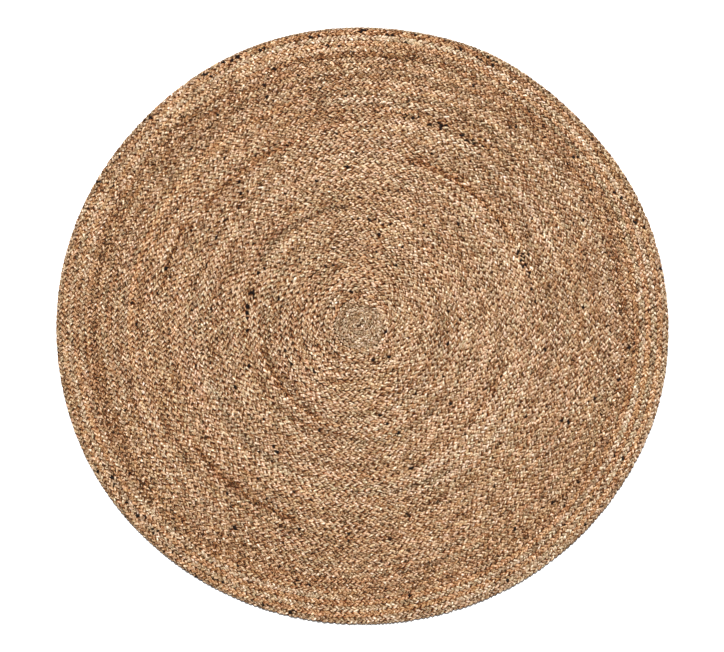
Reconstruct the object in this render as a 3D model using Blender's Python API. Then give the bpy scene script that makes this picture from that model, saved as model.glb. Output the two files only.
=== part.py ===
"""Round rug of plaited jute, seen from above with its middle at the origin.

Two flat three-strand plaits, one tan and one pale, lie side by side and are wound
together from the middle outward, clockwise as seen from above. Each lap of the
pair is sewn edge to edge to the lap before it, so the rug is one flat disc whose
top is a double spiral of raised rows with a groove between neighbours. A lap moves
outward by two rows, most of it within one arc at the front right, and both plaits
end there: the tan one first, closed over by the last length of the pale one.

Metres, +Z up. Angles along the spiral are radians, clockwise from +X.
"""

import math
from typing import NamedTuple

import bmesh
import bpy

# Outline and thickness
RUG_WIDTH = 1.500
RUG_DEPTH = 1.465
THICKNESS = 0.0090
GROOVE_DEPTH = 0.0024
RIM_HEIGHT = 0.0045
RIM_TUCK_HEIGHT = 0.0016
RIM_TUCK = 0.0006
SOLE_INSET = 0.0026

# The spiral
STATIONS_PER_LAP = 45
LAPS = 29
INNER_OVAL = 0.988
SPIRAL_OFF_CENTRE = (-0.0069, 0.0015)
SHIFT_STARTS = math.radians(45.0)
SHIFT_ENDS = math.radians(130.0)
SHIFT_SHARE = 0.8
EVEN_LAPS = 8
HUB_ROWS = 0.35
EDGE_ROWS = 10.0

# Where the two plaits end, and the length over which each narrows to nothing
TAN_END = math.tau * LAPS + math.radians(52.0)
TAN_TAPER = math.radians(13.0)
PALE_END = math.tau * LAPS + math.radians(96.0)
PALE_TAPER = math.radians(23.0)
PINCH_EASE = math.radians(9.0)

# Finish
JUTE_COLOUR = (0.407, 0.250, 0.141, 1.0)
JUTE_ROUGHNESS = 0.9


class RowZone(NamedTuple):
    """A run of rows, counted outward from the middle, laid at one width."""

    rows: int
    width: float


class Dent(NamedTuple):
    """A shallow swelling (+) or hollow (-) of the outline, in clockwise degrees."""

    at: float
    spread: float
    depth: float


class Pinch(NamedTuple):
    """An arc of the last pale lap that is pressed narrow, in clockwise degrees."""

    start: float
    end: float
    width: float


class Wander(NamedTuple):
    """A slow sideways wave of the rows, such as a hand leaves in sewing them."""

    waves: int
    reach: float
    lean: float


ROW_ZONES = (
    RowZone(rows=7, width=0.0085),
    RowZone(rows=46, width=0.0129),
    RowZone(rows=7, width=0.0138),
)
DENTS = (
    Dent(at=15.0, spread=14.0, depth=0.0030),
    Dent(at=85.0, spread=28.0, depth=-0.0024),
    Dent(at=150.0, spread=20.0, depth=0.0034),
    Dent(at=220.0, spread=18.0, depth=-0.0034),
    Dent(at=250.0, spread=16.0, depth=0.0024),
    Dent(at=294.0, spread=9.0, depth=0.0032),
    Dent(at=318.0, spread=14.0, depth=-0.0056),
)
PINCHES = (
    Pinch(start=108.0, end=150.0, width=0.45),
    Pinch(start=238.0, end=297.0, width=0.40),
)
WANDERS = (
    Wander(waves=3, reach=0.0016, lean=0.11),
    Wander(waves=5, reach=0.0013, lean=-0.17),
    Wander(waves=8, reach=0.0008, lean=0.23),
)


def eased(share):
    """Rise smoothly from 0 to 1 as share goes from 0 to 1."""
    share = min(max(share, 0.0), 1.0)
    return share * share * (3.0 - 2.0 * share)


def laid_radius(row):
    """Radius at which a row edge would lie on a perfectly even, round rug."""
    radius = 0.0
    for zone in ROW_ZONES:
        laid = min(row, zone.rows)
        radius += laid * zone.width
        row -= laid
    return radius + row * ROW_ZONES[-1].width


def rows_out(angle):
    """Inner edge of the tan plait, in rows from the middle, after winding by angle."""
    lap, part = divmod(angle, math.tau)
    share = SHIFT_SHARE * min(max(lap / EVEN_LAPS, 0.0), 1.0)
    shift = eased((part - SHIFT_STARTS) / (SHIFT_ENDS - SHIFT_STARTS))
    return 2.0 * (lap + (1.0 - share) * part / math.tau + share * shift)


def pressed_width(angle):
    """Width left to the pale plait on its last lap, as a share of a row."""
    if angle < PALE_END - math.tau:
        return 1.0
    clockwise = angle % math.tau
    width = 1.0
    for pinch in PINCHES:
        into = (clockwise - math.radians(pinch.start)) / PINCH_EASE
        out_of = (math.radians(pinch.end) - clockwise) / PINCH_EASE
        width -= (1.0 - pinch.width) * eased(into) * eased(out_of)
    return width


def tan_width(angle):
    """Width of the tan plait in rows: 1, narrowing to 0 at its end."""
    return 1.0 - eased((angle - TAN_END) / TAN_TAPER + 1.0)


def pale_width(angle):
    """Width of the pale plait in rows: 1, pressed or narrowing on its last lap."""
    return pressed_width(angle) * (1.0 - eased((angle - PALE_END) / PALE_TAPER + 1.0))


def last_row(angle):
    """Outer edge of the rug in this direction, in rows from the middle."""
    last_angle = PALE_END - (PALE_END - angle) % math.tau
    return rows_out(last_angle) + tan_width(last_angle) + pale_width(last_angle)


def oval(angle, depth_share):
    """Radius of an oval with half width 1 and half depth depth_share."""
    return depth_share / math.hypot(depth_share * math.cos(angle), math.sin(angle))


def rim_radius(angle):
    """Radius of the outline in this direction, with its uneven places."""
    radius = 0.5 * RUG_WIDTH * oval(angle, RUG_DEPTH / RUG_WIDTH)
    for dent in DENTS:
        away = (math.degrees(angle) - dent.at + 180.0) % 360.0 - 180.0
        radius += dent.depth * math.exp(-((away / dent.spread) ** 2))
    return radius


def row_radius(row, angle):
    """Radius of a row edge: even laps in the middle, following the rim at the edge."""
    even = laid_radius(row) * oval(angle, INNER_OVAL)
    wander = sum(w.reach * math.sin(w.waves * angle + w.lean * row) for w in WANDERS)
    even += wander * eased(row / EDGE_ROWS)
    outermost = last_row(angle)
    reach = laid_radius(outermost) * oval(angle, INNER_OVAL)
    reach += sum(w.reach * math.sin(w.waves * angle + w.lean * outermost) for w in WANDERS)
    nearness = eased(1.0 - (outermost - row) / EDGE_ROWS)
    return even + (rim_radius(angle) - reach) * nearness


def place(radius, angle, height):
    """Point of the rug at a radius and clockwise angle, the middle a little off centre."""
    off_centre = 1.0 - radius / rim_radius(angle)
    return (
        radius * math.cos(angle) + SPIRAL_OFF_CENTRE[0] * off_centre,
        -radius * math.sin(angle) + SPIRAL_OFF_CENTRE[1] * off_centre,
        height,
    )


class RugMesh:
    """Closed disc whose top carries the grooves and crowns of the double spiral."""

    def __init__(self):
        self.mesh = bmesh.new()
        self.step = math.tau / STATIONS_PER_LAP
        self.first = -STATIONS_PER_LAP
        self.last = round(PALE_END / self.step)
        self.groove_height = THICKNESS - GROOVE_DEPTH
        self.hub = self.mesh.verts.new(place(0.0, 0.0, self.groove_height))

    def point(self, row, angle, height):
        """Vertex at a row edge or crown; the innermost ones all meet at the hub."""
        if row <= HUB_ROWS:
            return self.hub
        return self.mesh.verts.new(place(row_radius(row, angle), angle, height))

    def rim_point(self, angle, inset, height):
        """Vertex on the rim, drawn in by inset."""
        return self.mesh.verts.new(place(rim_radius(angle) - inset, angle, height))

    def station_lines(self, index):
        """Groove, tan crown, groove and pale crown where the winding passes a station."""
        angle = index * self.step
        inner = rows_out(angle)
        between = inner + tan_width(angle)
        outer = between + pale_width(angle)
        if index == self.last:
            return [self.rim_point(angle, 0.0, RIM_HEIGHT)] * 4
        groove = self.point(inner, angle, self.groove_height)
        lines = [groove, groove, groove]
        if between > inner:
            lines[1] = self.point(0.5 * (inner + between), angle, THICKNESS)
            lines[2] = self.point(between, angle, self.groove_height)
        lines.append(self.point(0.5 * (between + outer), angle, THICKNESS))
        return lines

    def outer_line(self, lines, index):
        """Vertex on the pale plait's outer edge: the next lap's groove, or the rim."""
        if index + STATIONS_PER_LAP <= self.last:
            return lines[index + STATIONS_PER_LAP][0]
        if index == self.last:
            return lines[index][0]
        return self.rim_point(index * self.step, 0.0, RIM_HEIGHT)

    def band(self, first_edge, second_edge):
        """Face between two edges, skipped where the corners meet in fewer than three."""
        corners = []
        for corner in (*first_edge, *reversed(second_edge)):
            if corner not in corners:
                corners.append(corner)
        if len(corners) > 2:
            self.mesh.faces.new(corners)

    def build(self):
        """Make the top, the rounded rim and the flat sole.

        Returns:
            The finished bmesh, one closed body with its faces pointing out.
        """
        stations = range(self.first, self.last + 1)
        lines = {index: self.station_lines(index) for index in stations}
        for index in stations:
            lines[index].append(self.outer_line(lines, index))
        for index in range(self.first, self.last):
            here, there = lines[index], lines[index + 1]
            for line in range(4):
                self.band(here[line:line + 2], there[line:line + 2])
        last_lap = range(self.last - STATIONS_PER_LAP + 1, self.last + 1)
        rim = [lines[index][4] for index in last_lap]
        tuck = [self.rim_point(i * self.step, RIM_TUCK, RIM_TUCK_HEIGHT) for i in last_lap]
        sole = [self.rim_point(i * self.step, SOLE_INSET, 0.0) for i in last_lap]
        for upper, lower in ((rim, tuck), (tuck, sole)):
            for index in range(STATIONS_PER_LAP):
                before = index - 1
                self.band((upper[before], upper[index]), (lower[before], lower[index]))
        self.mesh.faces.new(sole)
        bmesh.ops.recalc_face_normals(self.mesh, faces=self.mesh.faces)
        return self.mesh


def centred(mesh):
    """Slide the mesh so that its box has its middle on the Z axis."""
    for axis in (0, 1):
        places = [vertex.co[axis] for vertex in mesh.verts]
        middle = 0.5 * (min(places) + max(places))
        for vertex in mesh.verts:
            vertex.co[axis] -= middle


def jute_material():
    """Plain matt jute in the rug's mean colour."""
    material = bpy.data.materials.new("jute")
    material.use_nodes = True
    shader = material.node_tree.nodes["Principled BSDF"]
    shader.inputs["Base Color"].default_value = JUTE_COLOUR
    shader.inputs["Roughness"].default_value = JUTE_ROUGHNESS
    shader.inputs["Metallic"].default_value = 0.0
    return material


def build_rug():
    """Add the rug to the scene as one object."""
    mesh = RugMesh().build()
    centred(mesh)
    data = bpy.data.meshes.new("plaited_rug")
    mesh.to_mesh(data)
    mesh.free()
    data.materials.append(jute_material())
    data.shade_smooth()
    data.set_sharp_from_angle(angle=math.radians(60.0))
    rug = bpy.data.objects.new("plaited_rug", data)
    bpy.context.collection.objects.link(rug)
    return rug


def main():
    """Clear the scene and build the rug."""
    for existing in list(bpy.data.objects):
        bpy.data.objects.remove(existing, do_unlink=True)
    build_rug()


main()
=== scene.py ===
"""Looks of a round rug of plaited jute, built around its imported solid.

Two flat three-strand plaits, one tan and one pale, are wound side by side from the
middle outward, clockwise as seen from above, and sewn edge to edge. Every strand is a
tube that crosses over and under its two neighbours, row after row along the spiral.

Metres, +Z up. Angles along the spiral are radians, clockwise from +X.
"""

import logging
import math
from dataclasses import dataclass
from enum import Enum

import bmesh
import bpy
import numpy as np
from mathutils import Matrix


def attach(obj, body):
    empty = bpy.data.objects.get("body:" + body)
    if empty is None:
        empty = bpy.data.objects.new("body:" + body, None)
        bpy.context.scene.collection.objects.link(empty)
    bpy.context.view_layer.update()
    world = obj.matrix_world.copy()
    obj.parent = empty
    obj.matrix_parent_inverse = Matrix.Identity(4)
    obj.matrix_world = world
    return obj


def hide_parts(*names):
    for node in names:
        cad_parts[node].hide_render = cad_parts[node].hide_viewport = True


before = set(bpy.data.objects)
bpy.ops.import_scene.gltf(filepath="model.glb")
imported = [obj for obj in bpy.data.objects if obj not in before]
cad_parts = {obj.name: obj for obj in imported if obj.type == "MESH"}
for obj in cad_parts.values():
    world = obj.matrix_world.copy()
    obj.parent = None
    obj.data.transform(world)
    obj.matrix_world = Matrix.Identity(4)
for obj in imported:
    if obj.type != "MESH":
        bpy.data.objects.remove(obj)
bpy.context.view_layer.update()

log = logging.getLogger("jute_rug")
Numbers = np.ndarray
Colour = tuple[float, float, float]

NODE = "plaited_rug"
BODY = "root"
# The yarn data hold each point's tone, warmth and hue, and its painted shade as a fourth value.
YARN_AND_SHADE_DATA = "yarn"
FIBRE_MAP = "Fibre"
BAKE_MAP = "OFBake"
LAPS = 29


def placed(name: str, data: bpy.types.ID) -> bpy.types.Object:
    """Put an object into the scene.

    Args:
        name: The object's name.
        data: Its mesh, lamp or camera.

    Returns:
        The object.
    """
    thing = bpy.data.objects.new(name, data)
    bpy.context.scene.collection.objects.link(thing)
    return thing


# Layout


@dataclass(frozen=True)
class RowZone:
    """A run of rows, counted outward from the middle, laid at one width."""

    rows: int
    width: float


@dataclass(frozen=True)
class Dent:
    """A shallow swelling (+) or hollow (-) of the outline, in clockwise degrees."""

    at: float
    spread: float
    depth: float


@dataclass(frozen=True)
class Pinch:
    """An arc of the last pale lap that is pressed narrow, in clockwise degrees."""

    start: float
    end: float
    width: float


@dataclass(frozen=True)
class Wander:
    """A slow sideways wave of the rows, such as a hand leaves in sewing them."""

    waves: int
    reach: float
    lean: float


class PlaitKind(Enum):
    """The two plaits that lie side by side."""

    TAN = "tan_plait"
    PALE = "pale_plait"


def eased(share: Numbers) -> Numbers:
    """Rise smoothly from 0 to 1 as share goes from 0 to 1."""
    share = np.clip(share, 0.0, 1.0)
    return share * share * (3.0 - 2.0 * share)


@dataclass(frozen=True)
class Route:
    """A plait's way along the spiral, sampled every degree or so of winding.

    Each field but kind holds one number for each sample: the winding angle, the plait's
    middle in rows and in metres, its width, and the length laid so far.
    """

    kind: PlaitKind
    angle: Numbers
    row: Numbers
    x: Numbers
    y: Numbers
    width: Numbers
    length: Numbers

    def at(self, field: Numbers, angle: Numbers) -> Numbers:
        """Value of one of the fields at other winding angles."""
        return np.interp(angle, self.angle, field)


@dataclass(frozen=True)
class Spiral:
    """Where every row lies. The values and rules are those of the rug's solid."""

    width: float = 1.500
    depth: float = 1.465
    stations_per_lap: int = 45
    inner_oval: float = 0.988
    off_centre: tuple[float, float] = (-0.0069, 0.0015)
    shift_starts: float = math.radians(45.0)
    shift_ends: float = math.radians(130.0)
    shift_share: float = 0.8
    even_laps: int = 8
    edge_rows: float = 10.0
    tan_end: float = math.tau * LAPS + math.radians(52.0)
    tan_taper: float = math.radians(13.0)
    pale_end: float = math.tau * LAPS + math.radians(96.0)
    pale_taper: float = math.radians(23.0)
    pinch_ease: float = math.radians(9.0)
    tan_start: float = 0.0
    pale_start: float = -math.pi
    sample: float = math.radians(1.0)
    zones: tuple[RowZone, ...] = (
        RowZone(rows=7, width=0.0085),
        RowZone(rows=46, width=0.0129),
        RowZone(rows=7, width=0.0138),
    )
    dents: tuple[Dent, ...] = (
        Dent(at=15.0, spread=14.0, depth=0.0030),
        Dent(at=85.0, spread=28.0, depth=-0.0024),
        Dent(at=150.0, spread=20.0, depth=0.0034),
        Dent(at=220.0, spread=18.0, depth=-0.0034),
        Dent(at=250.0, spread=16.0, depth=0.0024),
        Dent(at=294.0, spread=9.0, depth=0.0032),
        Dent(at=318.0, spread=14.0, depth=-0.0056),
    )
    pinches: tuple[Pinch, ...] = (
        Pinch(start=108.0, end=150.0, width=0.45),
        Pinch(start=238.0, end=297.0, width=0.40),
    )
    wanders: tuple[Wander, ...] = (
        Wander(waves=3, reach=0.0016, lean=0.11),
        Wander(waves=5, reach=0.0013, lean=-0.17),
        Wander(waves=8, reach=0.0008, lean=0.23),
    )

    def laid_radius(self, row: Numbers) -> Numbers:
        """Radius at which a row edge would lie on a perfectly even, round rug.

        Args:
            row: The edge, in rows from the middle.

        Returns:
            Its radius.
        """
        radius = np.zeros_like(row)
        for zone in self.zones:
            laid = np.minimum(row, zone.rows)
            radius = radius + laid * zone.width
            row = row - laid
        return radius + row * self.zones[-1].width

    def rows_out(self, angle: Numbers) -> Numbers:
        """Where the inner edge of the tan plait lies.

        Args:
            angle: The winding angle.

        Returns:
            The edge, in rows from the middle.
        """
        lap, part = np.divmod(angle, math.tau)
        share = self.shift_share * np.clip(lap / self.even_laps, 0.0, 1.0)
        shift = eased((part - self.shift_starts) / (self.shift_ends - self.shift_starts))
        return 2.0 * (lap + (1.0 - share) * part / math.tau + share * shift)

    def pressed_width(self, angle: Numbers) -> Numbers:
        """Width left to the pale plait where its last lap is pressed narrow.

        Args:
            angle: The winding angle.

        Returns:
            The width as a share of a row.
        """
        clockwise = np.mod(angle, math.tau)
        width = np.ones_like(angle)
        for pinch in self.pinches:
            into = (clockwise - math.radians(pinch.start)) / self.pinch_ease
            out_of = (math.radians(pinch.end) - clockwise) / self.pinch_ease
            width = width - (1.0 - pinch.width) * eased(into) * eased(out_of)
        return np.where(angle < self.pale_end - math.tau, 1.0, width)

    def tan_width(self, angle: Numbers) -> Numbers:
        """Width of the tan plait in rows: 1, narrowing to 0 at its end."""
        return 1.0 - eased((angle - self.tan_end) / self.tan_taper + 1.0)

    def pale_width(self, angle: Numbers) -> Numbers:
        """Width of the pale plait in rows: 1, pressed or narrowing on its last lap."""
        narrowing = 1.0 - eased((angle - self.pale_end) / self.pale_taper + 1.0)
        return self.pressed_width(angle) * narrowing

    def last_row(self, angle: Numbers) -> Numbers:
        """Outer edge of the rug in this direction, in rows from the middle."""
        last = self.pale_end - np.mod(self.pale_end - angle, math.tau)
        return self.rows_out(last) + self.tan_width(last) + self.pale_width(last)

    @staticmethod
    def oval(angle: Numbers, depth_share: float) -> Numbers:
        """Radius of an oval with half width 1 and half depth depth_share."""
        return depth_share / np.hypot(depth_share * np.cos(angle), np.sin(angle))

    def rim_radius(self, angle: Numbers) -> Numbers:
        """Radius of the outline, with its uneven places.

        Args:
            angle: The direction.

        Returns:
            The radius there.
        """
        radius = 0.5 * self.width * self.oval(angle, self.depth / self.width)
        for dent in self.dents:
            away = np.mod(np.degrees(angle) - dent.at + 180.0, 360.0) - 180.0
            radius = radius + dent.depth * np.exp(-((away / dent.spread) ** 2))
        return radius

    def wander(self, row: Numbers, angle: Numbers) -> Numbers:
        """Sideways shift of a row edge."""
        return sum(w.reach * np.sin(w.waves * angle + w.lean * row) for w in self.wanders)

    def row_radius(self, row: Numbers, angle: Numbers) -> Numbers:
        """Radius of a row edge: even laps in the middle, following the rim at the edge.

        Args:
            row: The edge, in rows from the middle.
            angle: The winding angle.

        Returns:
            Its radius.
        """
        even = self.laid_radius(row) * self.oval(angle, self.inner_oval)
        even = even + self.wander(row, angle) * eased(row / self.edge_rows)
        outermost = self.last_row(angle)
        reach = self.laid_radius(outermost) * self.oval(angle, self.inner_oval)
        reach = reach + self.wander(outermost, angle)
        nearness = eased(1.0 - (outermost - row) / self.edge_rows)
        return even + (self.rim_radius(angle) - reach) * nearness

    def centring(self) -> tuple[float, float]:
        """Find the slide that puts the middle of the solid's box on the Z axis.

        Returns:
            The slide along X and along Y.
        """
        angle = np.arange(self.stations_per_lap) * math.tau / self.stations_per_lap
        x = self.rim_radius(angle) * np.cos(angle)
        y = -self.rim_radius(angle) * np.sin(angle)
        return -0.5 * (x.min() + x.max()), -0.5 * (y.min() + y.max())

    def route(self, kind: PlaitKind) -> Route:
        """Lay out one plait from its start at the middle to its end at the rim.

        Args:
            kind: Which of the two plaits.

        Returns:
            The plait's route.
        """
        tan = kind is PlaitKind.TAN
        start, end = (self.tan_start, self.tan_end) if tan else (self.pale_start, self.pale_end)
        angle = np.arange(start, end, self.sample)
        inner = self.rows_out(angle)
        if not tan:
            inner = inner + self.tan_width(angle)
        outer = inner + (self.tan_width(angle) if tan else self.pale_width(angle))
        low, high = self.row_radius(inner, angle), self.row_radius(outer, angle)
        middle = 0.5 * (low + high)
        aside = 1.0 - middle / self.rim_radius(angle)
        slide = self.centring()
        x = middle * np.cos(angle) + self.off_centre[0] * aside + slide[0]
        y = -middle * np.sin(angle) + self.off_centre[1] * aside + slide[1]
        steps = np.hypot(np.diff(x), np.diff(y))
        length = np.concatenate(([0.0], np.cumsum(steps)))
        return Route(kind, angle, 0.5 * (inner + outer), x, y, high - low, length)


# Yarn


@dataclass(frozen=True)
class YarnChange:
    """How much the tone and the warmth of some yarn differ from the rest."""

    tone: float
    warmth: float


class Tint(Enum):
    """What a marked stretch of a row looks like. Dark yarn is black whatever it was."""

    DARK = "dark"
    RUST = "rust"
    CREAM = "cream"
    AMBER = "amber"
    GREY = "grey"


TINT_CHANGES: dict[Tint, YarnChange] = {
    Tint.RUST: YarnChange(tone=-0.14, warmth=0.45),
    Tint.CREAM: YarnChange(tone=0.09, warmth=-0.20),
    Tint.AMBER: YarnChange(tone=0.05, warmth=0.45),
    Tint.GREY: YarnChange(tone=-0.10, warmth=-0.45),
}


@dataclass(frozen=True)
class MarkedRun:
    """A stretch of a row whose yarn stands out.

    radius is from the rug's middle, start and end are in clockwise degrees, and share
    is the part of the yarn there that it reaches.
    """

    tint: Tint
    radius: float
    start: float
    end: float
    share: float = 1.0


@dataclass(frozen=True)
class YarnColours:
    """Seeded differences in the jute along the strands.

    Tone runs from 0, black, to 1, light, warmth from 0, grey beige, to 1, orange tan, and
    hue from 0, pinkish, to 1, greenish. The leans are how far the plait is from the other
    one's look at the rug's rim, and the rim rows are its last laps from the outside in.
    Runs are lengths of plait in metres, and a fleck's length is a share of a lobe.
    """

    seed: int
    tone_lean: float
    warmth_lean: float
    rim_rows: tuple[YarnChange, ...]
    tone: float = 0.42
    warmth: float = 0.46
    plait_tone: float = 0.05
    strand_tone: float = 0.05
    lobe_tone: float = 0.13
    plait_warmth: float = 0.13
    strand_warmth: float = 0.12
    lobe_warmth: float = 0.30
    strand_hue: float = 0.10
    lobe_hue: float = 0.20
    long_run: float = 0.7
    short_run: float = 0.16
    black_share: float = 0.0016
    black_tone: float = -0.50
    brown_share: float = 0.012
    brown_tone: float = -0.26
    fleck_run: float = 0.06
    fleck_crowding: float = 1.4
    fleck_length: float = 1.0 / 3.0
    lean_laps: tuple[float, ...] = (0.0, 22.0, 26.0, 27.0)
    lean_shares: tuple[float, ...] = (0.05, 0.15, 0.30, 1.00)
    tone_laps: tuple[float, ...] = (0.0, 4.0, 8.0, 20.0, 24.0, 27.0, 28.0)
    tone_steps: tuple[float, ...] = (-0.01, 0.03, 0.01, 0.0, -0.04, -0.05, 0.0)
    lean_faces: float = math.radians(30.0)
    lean_level: float = 0.75
    lean_swing: float = 0.40
    hub_rows: float = 7.0
    hub_tone: float = -0.06
    hub_warmth: float = -0.38


TAN_YARN = YarnColours(
    seed=11,
    tone_lean=0.0,
    warmth_lean=0.32,
    rim_rows=(
        YarnChange(tone=-0.01, warmth=0.12),
        YarnChange(tone=0.0, warmth=0.10),
        YarnChange(tone=-0.02, warmth=0.12),
        YarnChange(tone=-0.03, warmth=0.15),
    ),
)
PALE_YARN = YarnColours(
    seed=23,
    tone_lean=0.02,
    warmth_lean=-0.34,
    rim_rows=(
        YarnChange(tone=-0.04, warmth=0.0),
        YarnChange(tone=0.01, warmth=-0.10),
        YarnChange(tone=0.02, warmth=-0.05),
        YarnChange(tone=-0.04, warmth=0.10),
    ),
)
MARKED_RUNS: tuple[MarkedRun, ...] = (
    MarkedRun(Tint.DARK, radius=0.525, start=280.0, end=307.0, share=0.17),
    MarkedRun(Tint.DARK, radius=0.424, start=330.0, end=352.0, share=0.17),
    MarkedRun(Tint.DARK, radius=0.258, start=265.0, end=284.0, share=0.17),
    MarkedRun(Tint.DARK, radius=0.282, start=169.0, end=212.0, share=0.16),
    MarkedRun(Tint.DARK, radius=0.720, start=237.0, end=298.0, share=0.06),
    MarkedRun(Tint.DARK, radius=0.722, start=100.0, end=152.0, share=0.05),
    MarkedRun(Tint.RUST, radius=0.481, start=216.0, end=254.0),
    MarkedRun(Tint.RUST, radius=0.500, start=190.0, end=212.0),
    MarkedRun(Tint.RUST, radius=0.505, start=108.0, end=146.0),
    MarkedRun(Tint.RUST, radius=0.422, start=284.0, end=330.0),
    MarkedRun(Tint.RUST, radius=0.250, start=114.0, end=170.0),
    MarkedRun(Tint.CREAM, radius=0.503, start=269.0, end=341.0),
    MarkedRun(Tint.CREAM, radius=0.554, start=262.0, end=288.0),
    MarkedRun(Tint.CREAM, radius=0.422, start=231.0, end=284.0),
    MarkedRun(Tint.CREAM, radius=0.385, start=298.0, end=360.0),
    MarkedRun(Tint.CREAM, radius=0.424, start=4.0, end=76.0),
    MarkedRun(Tint.CREAM, radius=0.388, start=4.0, end=76.0),
    MarkedRun(Tint.AMBER, radius=0.569, start=170.0, end=254.0),
    MarkedRun(Tint.GREY, radius=0.397, start=123.0, end=159.0),
    MarkedRun(Tint.GREY, radius=0.412, start=57.0, end=95.0),
    MarkedRun(Tint.GREY, radius=0.297, start=212.0, end=262.0),
    MarkedRun(Tint.GREY, radius=0.742, start=62.0, end=78.0),
)


# Plaits


@dataclass(frozen=True)
class LobeRing:
    """One ring of a strand on its way from the plait's middle out and back below.

    phase is in degrees, width is a share of the strand's, shade from 0 to 1 is the painted shade
    that the ring gets for lying deep in the weave, and painted_flank_shade how much painted shade
    its sides get.
    """

    phase: float
    width: float
    shade: float
    painted_flank_shade: float


@dataclass(frozen=True)
class SectionPoint:
    """One point of a strand's section, in shares of its half width and half thickness."""

    across: float
    up: float
    # shade is the painted shade at this point: a strand's sides and underside are painted darker.
    shade: float


@dataclass(frozen=True)
class Unevenness:
    """How far a measure of the hand-made plait wanders, and over what length."""

    reach: float
    spacing: float


@dataclass(frozen=True)
class StrandRings:
    """The rings of one strand, in order along it. Each field has a row for each ring."""

    angle: Numbers
    points: Numbers
    along: Numbers
    # yarn holds each point's tone, warmth and hue, and its painted shade.
    yarn: Numbers


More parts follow.
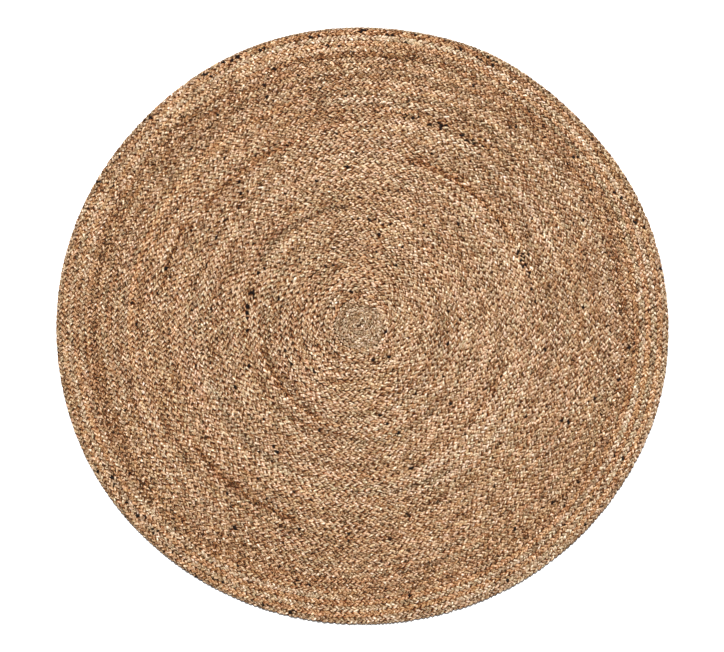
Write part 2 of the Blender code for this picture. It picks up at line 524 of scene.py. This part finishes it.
@dataclass
class Plait:
    """A flat plait of three strands laid along its route.

    The strands follow one another a third of a period apart. Each crosses outward over
    the plait's middle, turns at the edge and comes back under it, so lobes lie left and
    right of the middle like ears of corn, pointing outward and clockwise.
    """

    spiral: Spiral
    route: Route
    colours: YarnColours
    strands: int = 3
    # The shade values below are painted shade: rings deep in the weave and the sides and undersides
    # of the strands get darker colour.
    rings: tuple[LobeRing, ...] = (
        LobeRing(phase=15.0, width=0.85, shade=0.10, painted_flank_shade=1.0),
        LobeRing(phase=43.0, width=1.00, shade=0.0, painted_flank_shade=0.4),
        LobeRing(phase=76.0, width=0.90, shade=0.05, painted_flank_shade=1.0),
        LobeRing(phase=125.0, width=0.80, shade=0.85, painted_flank_shade=1.0),
    )
    section: tuple[SectionPoint, ...] = (
        SectionPoint(across=1.00, up=-0.05, shade=0.30),
        SectionPoint(across=0.45, up=1.00, shade=0.00),
        SectionPoint(across=-0.45, up=1.00, shade=0.00),
        SectionPoint(across=-1.00, up=-0.05, shade=0.30),
        SectionPoint(across=-0.45, up=-1.00, shade=1.00),
        SectionPoint(across=0.45, up=-1.00, shade=1.00),
    )
    row_width: float = 0.0129
    middle_height: float = 0.0045
    weave_height: float = 0.0020
    half_width: float = 0.0035
    half_thickness: float = 0.0023
    edge_inset: float = 0.0014
    straightness: float = 0.08
    late_dive: float = math.radians(20.0)
    height_range: tuple[float, float] = (0.0003, 0.0093)
    rim_give: float = 0.2
    scale_limits: tuple[float, float] = (0.05, 1.2)
    narrow_thickness: float = 1.6
    pitch_wander: Unevenness = Unevenness(reach=0.20, spacing=0.028)
    pitch_limits: tuple[float, float] = (0.65, 1.5)
    plump_wander: Unevenness = Unevenness(reach=0.20, spacing=0.016)
    plump_limits: tuple[float, float] = (0.6, 1.4)
    aside_wander: Unevenness = Unevenness(reach=0.0005, spacing=0.012)
    height_wander: Unevenness = Unevenness(reach=0.0004, spacing=0.012)
    forward_wander: Unevenness = Unevenness(reach=0.0012, spacing=0.010)
    fibre_start: float = 31.7
    lobe_rows: tuple[float, ...] = (0.0, 6.5, 8.5, 46.0, 50.0, 60.0)
    lobe_pitches: tuple[float, ...] = (0.0090, 0.0094, 0.0145, 0.0145, 0.0120, 0.0119)

    def __post_init__(self) -> None:
        """Work out how far the weave has turned at each sample of the route."""
        self.random = np.random.default_rng(self.colours.seed)
        route = self.route
        pitch = np.interp(route.row, self.lobe_rows, self.lobe_pitches)
        uneven = 1.0 + self.wandering(route.length, self.pitch_wander)
        pitch = pitch * np.clip(uneven, *self.pitch_limits)
        turning = math.tau / (self.strands * pitch)
        steps = 0.5 * (turning[1:] + turning[:-1]) * np.diff(route.length)
        self.turned = np.concatenate(([0.0], np.cumsum(steps)))

    def drift(self, length: Numbers, spacing: float) -> Numbers:
        """Seeded values that wander smoothly, about every spacing of length."""
        knots = np.arange(length.min() - spacing, length.max() + 2.0 * spacing, spacing)
        return np.interp(length, knots, self.random.normal(size=knots.size))

    def wandering(self, length: Numbers, by: Unevenness) -> Numbers:
        """Seeded departures of a measure from its mean."""
        return by.reach * self.drift(length, by.spacing)

    def per_lobe(self, phase: Numbers, lobes: float = 1.0) -> Numbers:
        """Draw seeded values from 0 to 1.

        Args:
            phase: The strand's phase at each ring.
            lobes: How many lobes each value is held for.

        Returns:
            A value for each ring.
        """
        held = np.floor(phase / (math.pi * lobes)).astype(int)
        held = held - held.min()
        return self.random.random(held.max() + 1)[held]

    def trimmed(self, points: Numbers, angle: Numbers) -> Numbers:
        """Press what sticks out over the rug's outline most of the way back to it.

        Args:
            points: Every ring's points.
            angle: Winding angle at each ring.

        Returns:
            The points as they lie then.
        """
        slide = np.array(self.spiral.centring())
        flat = points[..., :2] - slide
        radius = np.linalg.norm(flat, axis=2)
        rim = self.spiral.rim_radius(angle)[:, None]
        over = np.maximum(radius - rim, 0.0)
        share = 1.0 - (1.0 - self.rim_give) * over / radius
        flat = flat * share[..., None] + slide
        return np.concatenate((flat, points[..., 2:]), 2)

    def ring_stations(self, strand: int) -> tuple[Numbers, Numbers, Numbers]:
        """Where a strand has its rings.

        Args:
            strand: Which strand, from 0.

        Returns:
            The strand's own phase and the winding angle at each ring, and the number of
            the ring in its lobe.
        """
        lead = math.tau * strand / self.strands
        first, last = lead, self.turned[-1] + lead
        lobes = np.arange(math.floor(first / math.pi), math.ceil(last / math.pi))
        phases = np.radians([ring.phase for ring in self.rings])
        phase = (lobes[:, None] * math.pi + phases).ravel()
        number = np.tile(np.arange(len(self.rings)), len(lobes))
        inside = (phase >= first) & (phase <= last)
        phase, number = phase[inside], number[inside]
        return phase, np.interp(phase - lead, self.turned, self.route.angle), number

    def strand_rings(self, strand: int) -> StrandRings:
        """Shape one strand from end to end.

        Args:
            strand: Which strand, from 0.

        Returns:
            Its rings.
        """
        route = self.route
        phase, angle, number = self.ring_stations(strand)
        length = route.at(route.length, angle)
        width = route.at(route.width, angle)
        scale = np.clip(width / self.row_width, *self.scale_limits)
        before, after = angle - 0.5 * Spiral.sample, angle + 0.5 * Spiral.sample
        forward_x = route.at(route.x, after) - route.at(route.x, before)
        forward_y = route.at(route.y, after) - route.at(route.y, before)
        size = np.hypot(forward_x, forward_y)
        forward = np.stack((forward_x / size, forward_y / size, np.zeros_like(size)), 1)
        outward = np.stack((-forward[:, 1], forward[:, 0], np.zeros_like(size)), 1)
        upward = np.array((0.0, 0.0, 1.0))

        straight = self.straightness
        swing = (np.sin(phase) - straight * np.sin(3.0 * phase)) / (1.0 + straight)
        swinging = (np.cos(phase) - 3.0 * straight * np.cos(3.0 * phase)) / (1.0 + straight)
        reach = 0.5 * width - self.edge_inset * scale
        aside = reach * swing + scale * self.wandering(length, self.aside_wander)
        dive = 2.0 * phase - self.late_dive
        lift = self.weave_height * np.sin(dive)
        height = self.middle_height + lift + self.wandering(length, self.height_wander)
        middle = np.stack((route.at(route.x, angle), route.at(route.y, angle), height), 1)
        stray = scale * self.wandering(length, self.forward_wander)
        middle = middle + aside[:, None] * outward + stray[:, None] * forward

        turning = np.interp(angle, route.angle, np.gradient(self.turned, route.length))
        sideways = reach * swinging * turning
        rising = 2.0 * self.weave_height * np.cos(dive) * turning
        way = forward + sideways[:, None] * outward + rising[:, None] * upward
        way = way / np.linalg.norm(way, axis=1)[:, None]
        face = upward - way[:, 2:] * way
        face = face / np.linalg.norm(face, axis=1)[:, None]
        across = np.cross(way, face)

        plump = 1.0 + self.wandering(length, self.plump_wander)
        plump = np.clip(plump, *self.plump_limits)
        half_width = np.array([ring.width for ring in self.rings])[number]
        half_width = self.half_width * scale * plump * half_width
        half_thickness = self.half_thickness * np.minimum(1.0, self.narrow_thickness * scale)
        flat = half_width[:, None] * np.array([point.across for point in self.section])
        thick = half_thickness[:, None] * np.array([point.up for point in self.section])
        points = middle[:, None] + flat[..., None] * across[:, None]
        points = points + thick[..., None] * face[:, None]
        points[..., 2] = np.clip(points[..., 2], *self.height_range)
        points = self.trimmed(points, angle)
        # Painted shade: each point is darkened for lying deep in the weave or on a strand's side or
        # underside, kept as the fourth yarn value.
        shade = np.array([ring.shade for ring in self.rings])[number, None]
        painted_flank_shade = np.array([ring.painted_flank_shade for ring in self.rings])[number, None]
        shade = shade + painted_flank_shade * np.array([point.shade for point in self.section])
        shade = np.clip(shade, 0.0, 1.0)[..., None]
        yarn = self.yarn_of(length, phase, angle, points)
        yarn = np.concatenate((yarn[:, None].repeat(len(self.section), 1), shade), 2)
        path = np.linalg.norm(np.diff(middle, axis=0), axis=1)
        along = np.concatenate(([0.0], np.cumsum(path))) + self.fibre_start * (strand + 1)
        return StrandRings(angle, points, along, yarn)

    def yarn_of(self, length: Numbers, phase: Numbers, angle: Numbers, points: Numbers) -> Numbers:
        """Colour data at each ring of a strand.

        Args:
            length: Length of plait laid at each ring.
            phase: The strand's phase at each ring.
            angle: Winding angle at each ring.
            points: Every ring's points.

        Returns:
            Tone, warmth and hue for each ring.
        """
        colours = self.colours
        laps = angle / math.tau
        lean = np.interp(laps, colours.lean_laps, colours.lean_shares)
        lean = lean * (colours.lean_level + colours.lean_swing * np.cos(angle - colours.lean_faces))
        tone = colours.tone + colours.tone_lean * lean
        tone += np.interp(laps, colours.tone_laps, colours.tone_steps)
        warmth = colours.warmth + colours.warmth_lean * lean
        for laps_in, row in enumerate(colours.rim_rows):
            here = np.floor((self.route.angle[-1] - angle) / math.tau) == laps_in
            tone += row.tone * here
            warmth += row.warmth * here
        hub = np.interp(angle, self.route.angle, self.route.row) < colours.hub_rows
        tone += colours.hub_tone * hub
        warmth += colours.hub_warmth * hub
        tone += colours.plait_tone * self.drift(length, colours.long_run)
        tone += colours.strand_tone * self.drift(length, colours.short_run)
        tone += colours.lobe_tone * (2.0 * self.per_lobe(phase) - 1.0)
        warmth += colours.plait_warmth * self.drift(length, colours.long_run)
        warmth += colours.strand_warmth * self.drift(length, 2.0 * colours.short_run)
        warmth += colours.lobe_warmth * (2.0 * self.per_lobe(phase) - 1.0)
        hue = 0.5 + colours.strand_hue * self.drift(length, colours.short_run)
        hue += colours.lobe_hue * (2.0 * self.per_lobe(phase) - 1.0)
        crowding = np.exp(colours.fleck_crowding * self.drift(length, colours.fleck_run))
        draw = self.per_lobe(phase, colours.fleck_length)
        tone = np.where(draw < colours.black_share * crowding, colours.black_tone, tone)
        tone += colours.brown_tone * (draw > 1.0 - colours.brown_share)
        draw = self.per_lobe(phase, colours.fleck_length)
        centre = points.mean(1)
        radius = np.hypot(centre[:, 0], centre[:, 1])
        clockwise = np.mod(np.degrees(np.arctan2(-centre[:, 1], centre[:, 0])), 360.0)
        for run in MARKED_RUNS:
            here = np.abs(radius - run.radius) < 0.5 * self.row_width
            here &= (clockwise > run.start) & (clockwise < run.end)
            chosen = here & (draw < run.share)
            if run.tint is Tint.DARK:
                tone[chosen] = colours.black_tone
            else:
                tone[chosen] += TINT_CHANGES[run.tint].tone
                warmth[chosen] += TINT_CHANGES[run.tint].warmth
        warmth, hue = np.clip(warmth, 0.0, 1.0), np.clip(hue, 0.0, 1.0)
        return np.stack((tone, warmth, hue), 1)


@dataclass
class StrandAtlas:
    """Places every face of a piece's strands in its own part of one square map.

    The strands are cut into rows of equal length that lie under each other, each as
    high as a strand is round, with a narrow gap between rows.
    """

    faces_along: int
    face_length: float = 0.0056
    girth: float = 0.0178
    gap_share: float = 0.10
    cap_share: float = 0.4
    cap_fibres: float = 0.2

    def __post_init__(self) -> None:
        """Choose how many faces a row of the map holds."""
        shape = self.girth / self.face_length
        self.columns = max(1, round(math.sqrt(self.faces_along * shape)))
        self.rows = math.ceil(self.faces_along / self.columns)

    def corners(self, index: Numbers, sides: int) -> Numbers:
        """Map places of the four corners of each side face of the given lengths.

        Args:
            index: Number of each length of strand, from one ring to the next.
            sides: How many faces lie round the strand.

        Returns:
            An array of lengths, sides, four corners and two coordinates.
        """
        row, column = np.divmod(index, self.columns)
        side = np.arange(sides)
        low = (1.0 - self.gap_share) * side / sides + 0.5 * self.gap_share
        high = low + (1.0 - self.gap_share) / sides
        left, right = column / self.columns, (column + 1) / self.columns
        bottom = (row[:, None] + low) / self.rows
        top = (row[:, None] + high) / self.rows
        left = np.broadcast_to(left[:, None], bottom.shape)
        right = np.broadcast_to(right[:, None], bottom.shape)
        ends = ((left, bottom), (right, bottom), (right, top), (left, top))
        return np.stack([np.stack(end, -1) for end in ends], 2)


class PlaitPiece:
    """One stretch of a plait as a mesh of its three strands."""

    def __init__(self, name: str, plait_sides: int) -> None:
        """Start an empty piece.

        Args:
            name: The piece's name.
            plait_sides: How many faces lie round a strand.
        """
        self.name = name
        self.sides = plait_sides
        self.points: list[Numbers] = []
        self.yarn: list[Numbers] = []
        self.quads: list[Numbers] = []
        self.fibre: list[Numbers] = []
        self.caps: list[Numbers] = []
        self.used = 0

    def add_strand(self, rings: StrandRings, start: int, end: int) -> None:
        """Add the strand between two of its rings.

        Args:
            rings: The whole strand.
            start: Its first ring here.
            end: Its last ring here.
        """
        points, sides = rings.points[start:end + 1], self.sides
        count = len(points)
        ring = np.arange(count - 1)[:, None] * sides + np.arange(sides)
        turned = np.arange(count - 1)[:, None] * sides + (np.arange(sides) + 1) % sides
        quads = np.stack((ring, ring + sides, turned + sides, turned), -1) + self.used
        along = rings.along[start:end + 1]
        girth = np.arange(sides + 1) / sides
        near = np.broadcast_to(along[:-1, None], ring.shape)
        far = np.broadcast_to(along[1:, None], ring.shape)
        low = np.broadcast_to(girth[:-1], ring.shape)
        high = np.broadcast_to(girth[1:], ring.shape)
        ends = ((near, low), (far, low), (far, high), (near, high))
        self.fibre.append(np.stack([np.stack(corner, -1) for corner in ends], 2))
        self.quads.append(quads)
        first, last = np.arange(sides), np.arange(sides) + (count - 1) * sides
        self.caps += [first + self.used, last[::-1] + self.used]
        self.points.append(points.reshape(-1, 3))
        self.yarn.append(rings.yarn[start:end + 1].reshape(-1, 4))
        self.used += count * sides

    def build(self) -> bpy.types.Object:
        """Make the object, with its fibre map, its map for baking and its yarn data with painted
        shade.

        Returns:
            The object.
        """
        sides = self.sides
        quads = np.concatenate(self.quads)
        lengths, capped = len(quads), len(self.caps)
        mesh = bpy.data.meshes.new(self.name)
        points = np.concatenate(self.points)
        corners = np.concatenate((quads.ravel(), np.concatenate(self.caps)))
        sizes = np.concatenate((np.full(lengths * sides, 4), np.full(capped, sides)))
        mesh.vertices.add(len(points))
        mesh.vertices.foreach_set("co", points.astype(np.float32).ravel())
        mesh.loops.add(len(corners))
        mesh.loops.foreach_set("vertex_index", corners.astype(np.int32))
        mesh.polygons.add(len(sizes))
        starts = np.concatenate(([0], np.cumsum(sizes)[:-1]))
        mesh.polygons.foreach_set("loop_start", starts.astype(np.int32))
        mesh.update(calc_edges=True)
        mesh.shade_smooth()
        self.sharpen_caps(mesh)
        self.add_maps(mesh, lengths, capped)
        # The yarn data carry tone, warmth and hue, and painted shade as their fourth value.
        data = mesh.attributes.new(YARN_AND_SHADE_DATA, "FLOAT_COLOR", "POINT")
        data.data.foreach_set("color", np.concatenate(self.yarn).astype(np.float32).ravel())
        mesh.validate()
        return placed(self.name, mesh)

    def sharpen_caps(self, mesh: bpy.types.Mesh) -> None:
        """Mark the strands' ends sharp, so that they don't bend the shading beside them.

        Args:
            mesh: The piece's mesh.
        """
        ends = np.zeros(len(mesh.edges) * 2, np.int32)
        mesh.edges.foreach_get("vertices", ends)
        on_cap = np.isin(ends.reshape(-1, 2), np.concatenate(self.caps)).all(1)
        sharp = mesh.attributes.new("sharp_edge", "BOOLEAN", "EDGE")
        sharp.data.foreach_set("value", on_cap)

    def add_maps(self, mesh: bpy.types.Mesh, lengths: int, capped: int) -> None:
        """Add the map that the fibres follow and the one laid out for baking the finish.

        Args:
            mesh: The piece's mesh.
            lengths: How many lengths of strand it has, from ring to ring.
            capped: How many strand ends it has.
        """
        sides = self.sides
        around = np.arange(sides) * math.tau / sides
        disc = np.stack((np.cos(around), np.sin(around)), 1)
        fibre = mesh.uv_layers.new(name=FIBRE_MAP)
        atlas = StrandAtlas(faces_along=lengths + capped)
        ends = np.tile(atlas.cap_fibres * disc, (capped, 1))
        values = np.concatenate((np.concatenate(self.fibre).reshape(-1, 2), ends))
        fibre.uv.foreach_set("vector", values.astype(np.float32).ravel())
        body = atlas.corners(np.arange(lengths), sides).reshape(-1, 2)
        cells = atlas.corners(lengths + np.arange(capped), 1)[:, 0]
        middle = cells.mean(1, keepdims=True)
        reach = atlas.cap_share * (cells[:, 2] - cells[:, 0])[:, None]
        caps = (middle + reach * disc).reshape(-1, 2)
        bake = mesh.uv_layers.new(name=BAKE_MAP)
        values = np.concatenate((body, caps))
        bake.uv.foreach_set("vector", values.astype(np.float32).ravel())


@dataclass(frozen=True)
class Stretches:
    """Where each plait is parted into pieces, in laps from the middle."""

    laps: tuple[float, ...] = (8.0, 12.0, 15.0, 18.0, 20.0, 22.0, 24.0, 26.0, 28.0)

    def edges(self) -> list[float]:
        """Winding angles at which the pieces start and end."""
        return [-math.inf, *(lap * math.tau for lap in self.laps), math.inf]

    def build(self, plait: Plait) -> list[bpy.types.Object]:
        """Make a plait's pieces.

        Args:
            plait: The plait.

        Returns:
            The pieces, from the middle outward.
        """
        strands = [plait.strand_rings(strand) for strand in range(plait.strands)]
        edges, pieces = self.edges(), []
        for number, (inner, outer) in enumerate(zip(edges[:-1], edges[1:])):
            piece = PlaitPiece(f"{plait.route.kind.value}_{number + 1:02d}", len(plait.section))
            for rings in strands:
                start = int(np.searchsorted(rings.angle, inner))
                end = min(int(np.searchsorted(rings.angle, outer)), len(rings.angle) - 1)
                piece.add_strand(rings, start, end)
            pieces.append(piece.build())
        return pieces


# Inner yarn


@dataclass(frozen=True)
class InnerYarn:
    """The yarn inside the rows, which closes the view between the strands.

    It follows the solid's rows, lower and a little in from the rim. Its very dark colour is painted
    shade.
    """

    name: str = "inner_yarn"
    solid_heights: tuple[float, ...] = (0.0, 0.0066, 0.0090)
    yarn_heights: tuple[float, ...] = (0.0010, 0.0034, 0.0052)
    rim_share: float = 0.9955
    merge_distance: float = 1e-6

    def build(self) -> bpy.types.Object:
        """Make the piece from the solid's own rows.

        Returns:
            The object.
        """
        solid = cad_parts[NODE].data
        shape = bmesh.new()
        shape.from_mesh(solid)
        bmesh.ops.remove_doubles(shape, verts=shape.verts, dist=self.merge_distance)
        for vertex in shape.verts:
            height = np.interp(vertex.co.z, self.solid_heights, self.yarn_heights)
            vertex.co = (self.rim_share * vertex.co.x, self.rim_share * vertex.co.y, height)
        mesh = bpy.data.meshes.new(self.name)
        shape.to_mesh(mesh)
        shape.free()
        mesh.materials.clear()
        mesh.shade_smooth()
        return placed(self.name, mesh)


# Finishes and painted shade


class Shade:
    """A shader socket that takes part in Python arithmetic."""

    def __init__(self, nodes: "Nodes", socket: bpy.types.NodeSocket) -> None:
        """Wrap a socket of a node tree."""
        self.nodes = nodes
        self.socket = socket

    def __add__(self, other: "Shade | float") -> "Shade":
        """Sum."""
        return self.nodes.maths("ADD", self, other)

    __radd__ = __add__

    def __sub__(self, other: "Shade | float") -> "Shade":
        """Difference."""
        return self.nodes.maths("SUBTRACT", self, other)

    def __mul__(self, other: "Shade | float") -> "Shade":
        """Product."""
        return self.nodes.maths("MULTIPLY", self, other)

    __rmul__ = __mul__


class Nodes:
    """A new material and the nodes that lead to its shader."""

    def __init__(self, name: str) -> None:
        """Make the material.

        Args:
            name: Its name.
        """
        self.material = bpy.data.materials.new(name)
        self.material.use_nodes = True
        self.tree = self.material.node_tree
        self.shader = self.tree.nodes["Principled BSDF"]

    def add(self, kind: str, inputs: dict | None = None, **settings: object) -> bpy.types.Node:
        """Add one node.

        Args:
            kind: The node's type.
            inputs: Values or shades for its sockets, by name or number.
            settings: The node's own settings, which are set first.

        Returns:
            The node.
        """
        node = self.tree.nodes.new(kind)
        stops = settings.pop("stops", None)
        for name, value in settings.items():
            setattr(node, name, value)
        if stops:
            self.set_stops(node.color_ramp, stops)
        self.feed(node, inputs or {})
        return node

    def feed(self, node: bpy.types.Node, inputs: dict) -> None:
        """Link shades to a node's sockets, or set the sockets' own values.

        Args:
            node: The node.
            inputs: The shades and values, by the socket's name or number.
        """
        for name, value in inputs.items():
            if isinstance(value, Shade):
                self.tree.links.new(value.socket, node.inputs[name])
            else:
                node.inputs[name].default_value = value

    @staticmethod
    def set_stops(ramp: bpy.types.ColorRamp, stops: tuple[tuple[float, Colour], ...]) -> None:
        """Give a colour ramp its stops.

        Args:
            ramp: The ramp.
            stops: The place and the colour of each stop.
        """
        while len(ramp.elements) < len(stops):
            ramp.elements.new(0.5)
        for element, (place, colour) in zip(ramp.elements, stops):
            element.position = place
            element.color = (*colour, 1.0)

    def shade(
        self, output: int | str, kind: str, inputs: dict | None = None, **settings: object
    ) -> Shade:
        """Add one node and take one of its outputs."""
        return Shade(self, self.add(kind, inputs, **settings).outputs[output])

    def maths(self, operation: str, first: object, second: object) -> Shade:
        """Join two values or shades by a Math node."""
        return self.shade(0, "ShaderNodeMath", {0: first, 1: second}, operation=operation)

    def scaled(self, vector: Shade, by: tuple[float, float, float]) -> Shade:
        """A vector times three numbers."""
        inputs = {0: vector, 1: by}
        return self.shade("Vector", "ShaderNodeVectorMath", inputs, operation="MULTIPLY")

    def blend(self, factor: "Shade | float", low: object, high: object, how: str = "MIX") -> Shade:
        """Mix two colours."""
        inputs = {0: factor, 6: low, 7: high}
        return self.shade(2, "ShaderNodeMix", inputs, data_type="RGBA", blend_type=how)

    def ramp(self, value: Shade, stops: tuple[tuple[float, Colour], ...]) -> Shade:
        """Colour that follows a value from 0 to 1."""
        return self.shade("Color", "ShaderNodeValToRGB", {"Fac": value}, stops=stops)

    def noise(self, vector: Shade, detail: float, roughness: float = 0.6) -> Shade:
        """Smooth noise from 0 to 1 at the vector's own scale."""
        inputs = {"Vector": vector, "Scale": 1.0, "Detail": detail, "Roughness": roughness}
        return self.shade("Fac", "ShaderNodeTexNoise", inputs)


@dataclass(frozen=True)
class JuteFinishAndPaintedShade:
    """Dry jute yarn: bundles of fine fibres along the strand, matt, with a weak sheen.

    The ramps go from black to light jute, one for grey beige yarn and one for orange tan.
    The painted shade ramp is what the colour is multiplied by, darkening it as painted shade from
    the top of a strand to its deepest part. Tones are changes of a level that runs from 0, black,
    to 1, light.
    """

    name: str
    cool: tuple[tuple[float, Colour], ...]
    warm: tuple[tuple[float, Colour], ...]
    pinkish: Colour = (1.02, 0.93, 1.02)
    greenish: Colour = (0.98, 1.07, 0.98)
    # Painted shade: the colour multiplier from a strand's top, untouched, to its deepest part, near
    # black.
    painted_shade_ramp: tuple[tuple[float, Colour], ...] = (
        (0.0, (1.0, 1.0, 1.0)),
        (0.30, (0.85, 0.745, 0.65)),
        (0.60, (0.34, 0.13, 0.04)),
        (1.0, (0.08, 0.03, 0.01)),
    )
    bundle_scale: tuple[float, float, float] = (210.0, 6.0, 1.0)
    fibre_scale: tuple[float, float, float] = (300.0, 60.0, 1.0)
    bundle_tone: float = 1.45
    bundle_peaks: float = 24.0
    darkest_mottle: float = -0.27
    bundle_detail: float = 1.0
    fibre_tone: float = 0.30
    fibre_detail: float = 3.0
    roughness_low: float = 0.62
    roughness_high: float = 0.92
    specular: float = 0.12
    bump_strength: float = 0.8
    bump_distance: float = 0.0006

    def build(self) -> bpy.types.Material:
        """Make the material.

        Returns:
            The material.
        """
        nodes = Nodes(self.name)
        yarn = nodes.add("ShaderNodeAttribute", attribute_name=YARN_AND_SHADE_DATA)
        parts = nodes.add("ShaderNodeSeparateXYZ", {0: Shade(nodes, yarn.outputs["Vector"])})
        tone, warmth, hue = (Shade(nodes, parts.outputs[i]) for i in range(3))
        # The alpha of the yarn data is painted shade: how deep the point lies in the weave.
        depth = Shade(nodes, yarn.outputs["Alpha"])
        place = nodes.shade("UV", "ShaderNodeUVMap", uv_map=FIBRE_MAP)
        bundles = nodes.noise(nodes.scaled(place, self.bundle_scale), self.bundle_detail) - 0.5
        fibres = nodes.noise(nodes.scaled(place, self.fibre_scale), self.fibre_detail) - 0.5
        streak = 0.5 * (bundles + fibres) + 0.5
        mottle = bundles * (self.bundle_tone + self.bundle_peaks * bundles * bundles)
        mottle = nodes.maths("MAXIMUM", mottle, self.darkest_mottle)
        level = tone + mottle + self.fibre_tone * fibres
        colour = nodes.blend(warmth, nodes.ramp(level, self.cool), nodes.ramp(level, self.warm))
        tint = nodes.blend(hue, (*self.pinkish, 1.0), (*self.greenish, 1.0))
        colour = nodes.blend(1.0, colour, tint, "MULTIPLY")
        # Painted shade: the colour is multiplied darker the deeper the point lies in the weave.
        colour = nodes.blend(1.0, colour, nodes.ramp(depth, self.painted_shade_ramp), "MULTIPLY")
        rough = self.roughness_low + (self.roughness_high - self.roughness_low) * streak
        inputs = {"Strength": self.bump_strength, "Distance": self.bump_distance}
        bump = nodes.shade("Normal", "ShaderNodeBump", {"Height": streak, **inputs})
        inputs = {"Base Color": colour, "Roughness": rough, "Specular IOR Level": self.specular}
        nodes.feed(nodes.shader, {**inputs, "Normal": bump})
        return nodes.material


@dataclass(frozen=True)
class InnerJuteAndPaintedShade:
    """The yarn deep between the strands: dark brown with paler fibres, its darkness painted shade.
    """

    name: str = "inner_jute_painted_shade"
    # Painted shade: these very dark browns stand in for the shade between the strands.
    stops: tuple[tuple[float, Colour], ...] = (
        (0.3, (0.020, 0.010, 0.005)),
        (0.7, (0.070, 0.038, 0.018)),
    )
    scale: tuple[float, float, float] = (700.0, 700.0, 700.0)
    detail: float = 2.0
    roughness: float = 0.95
    specular: float = 0.15

    def build(self) -> bpy.types.Material:
        """Make the material.

        Returns:
            The material.
        """
        nodes = Nodes(self.name)
        place = nodes.shade("Position", "ShaderNodeNewGeometry")
        mottle = nodes.noise(nodes.scaled(place, self.scale), self.detail)
        inputs = {"Roughness": self.roughness, "Specular IOR Level": self.specular}
        nodes.feed(nodes.shader, {"Base Color": nodes.ramp(mottle, self.stops), **inputs})
        return nodes.material


WARM_JUTE: tuple[tuple[float, Colour], ...] = (
    (0.0, (0.008, 0.003, 0.002)),
    (0.15, (0.135, 0.040, 0.007)),
    (0.40, (0.321, 0.170, 0.075)),
    (0.66, (0.570, 0.360, 0.205)),
    (1.0, (0.890, 0.720, 0.560)),
)
COOL_JUTE: tuple[tuple[float, Colour], ...] = (
    (0.0, (0.006, 0.004, 0.003)),
    (0.15, (0.110, 0.052, 0.017)),
    (0.40, (0.288, 0.200, 0.119)),
    (0.66, (0.540, 0.420, 0.290)),
    (1.0, (0.880, 0.785, 0.670)),
)


# Studio


@dataclass(frozen=True)
class Studio:
    """Plain pale floor, soft light from beyond the rug, and the camera overhead."""

    floor_side: float = 40.0
    floor_colour: Colour = (0.93, 0.93, 0.93)
    floor_roughness: float = 0.9
    camera_height: float = 5.0
    view_width: float = 1.776
    sensor: float = 36.0
    aside: tuple[float, float] = (-0.0019, -0.0006)
    lamp_place: tuple[float, float, float] = (-0.6, 8.4, 14.0)
    lamp_side: float = 2.4
    lamp_power: float = 5200.0
    sky: float = 0.32

    def add_floor(self) -> None:
        """Lay the floor."""
        half = 0.5 * self.floor_side
        mesh = bpy.data.meshes.new("studio_floor")
        corners = [(-half, -half, 0.0), (half, -half, 0.0), (half, half, 0.0), (-half, half, 0.0)]
        mesh.from_pydata(corners, [], [(0, 1, 2, 3)])
        nodes = Nodes("pale_floor")
        inputs = {"Base Color": (*self.floor_colour, 1.0), "Roughness": self.floor_roughness}
        nodes.feed(nodes.shader, inputs)
        mesh.materials.append(nodes.material)
        placed("studio_floor", mesh)

    def add_light(self) -> None:
        """Hang one large lamp high up beyond the rug, with an even pale sky around."""
        lamp = bpy.data.lights.new("soft_lamp", "AREA")
        lamp.shape = "SQUARE"
        lamp.size = self.lamp_side
        lamp.energy = self.lamp_power
        holder = placed("soft_lamp", lamp)
        holder.location = self.lamp_place
        aim = -holder.location
        holder.rotation_euler = aim.to_track_quat("-Z", "Y").to_euler()
        world = bpy.data.worlds.new("studio_sky")
        world.use_nodes = True
        sky = world.node_tree.nodes["Background"]
        sky.inputs["Color"].default_value = (1.0, 1.0, 1.0, 1.0)
        sky.inputs["Strength"].default_value = self.sky
        bpy.context.scene.world = world
        bpy.context.scene.view_settings.view_transform = "Standard"

    def add_camera(self) -> None:
        """Set the camera straight above, as in the photograph."""
        data = bpy.data.cameras.new("camera")
        data.sensor_width = self.sensor
        data.lens = self.sensor * self.camera_height / self.view_width
        camera = placed("camera", data)
        camera.location = (*self.aside, self.camera_height)
        bpy.context.scene.camera = camera

    def build(self) -> None:
        """Set up the whole studio."""
        self.add_floor()
        self.add_light()
        self.add_camera()


# Main


def dress(piece: bpy.types.Object, material: bpy.types.Material) -> None:
    """Give a piece its material and its body, and hide the solid that it stands for.

    Args:
        piece: The piece.
        material: Its material.
    """
    piece.data.materials.append(material)
    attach(piece, BODY)
    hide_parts(NODE)
    piece.data.calc_loop_triangles()
    log.info("%s: %d triangles", piece.name, len(piece.data.loop_triangles))


def main() -> None:
    """Build the rug and the studio."""
    logging.basicConfig(level=logging.INFO, format="%(name)s: %(message)s")
    Studio().build()
    spiral = Spiral()
    yarns = {PlaitKind.TAN: TAN_YARN, PlaitKind.PALE: PALE_YARN}
    jute = JuteFinishAndPaintedShade(name="plaited_jute_painted_shade", cool=COOL_JUTE, warm=WARM_JUTE).build()
    plaits: list[bpy.types.Object] = []
    for kind, colours in yarns.items():
        for piece in Stretches().build(Plait(spiral, spiral.route(kind), colours)):
            dress(piece, jute)
            plaits.append(piece)
    inner = InnerYarn().build()
    dress(inner, InnerJuteAndPaintedShade().build())
    area = math.pi * 0.25 * spiral.width * spiral.depth
    triangles = sum(len(piece.data.loop_triangles) for piece in (*plaits, inner))
    log.info("%d triangles in all", triangles)


if __name__ == "__main__":
    main()
